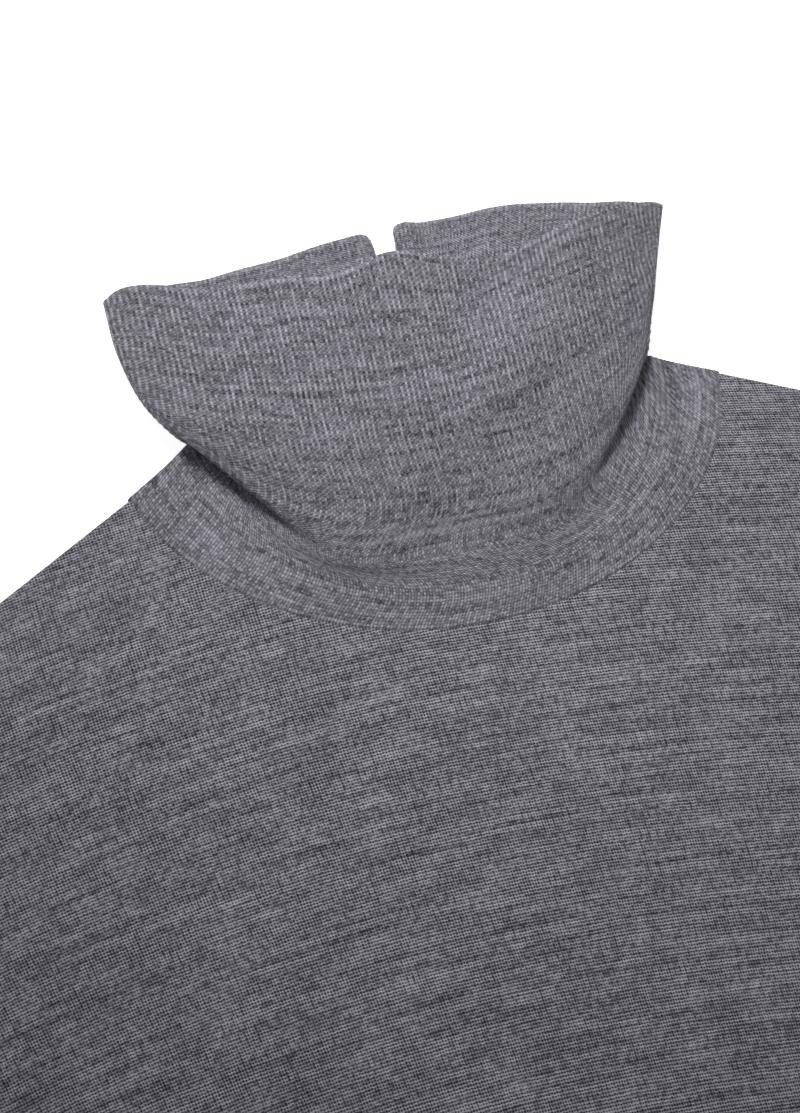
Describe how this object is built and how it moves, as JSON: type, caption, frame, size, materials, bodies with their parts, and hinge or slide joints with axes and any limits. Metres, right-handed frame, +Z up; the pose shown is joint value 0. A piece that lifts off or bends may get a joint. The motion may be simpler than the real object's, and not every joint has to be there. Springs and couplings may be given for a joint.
{
  "type": "turtleneck sweater",
  "caption": "Fine-knit turtleneck sweater laid flat face up, with a tall ribbed collar standing partly open, folded at its base and slit at the back of its rim.",
  "frame": {"origin": "centre of the garment's bounding box, on the surface that it lies on", "axes": "+X towards the wearer's left sleeve, which is the right side as seen from above; +Y from the hem to the collar; +Z up, out of the front panel"},
  "size_m": [1.1986, 0.7093, 0.0366],
  "materials": {
    "knit_jersey": "matte grey heather fine jersey knit",
    "knit_rib": "matte grey heather fine rib knit"
  },
  "bodies": {
    "root": {"back": "knit_jersey", "front": "knit_jersey", "sleeve_left": "knit_jersey", "sleeve_right": "knit_jersey", "collar": "knit_rib"}
  },
  "joints": []
}
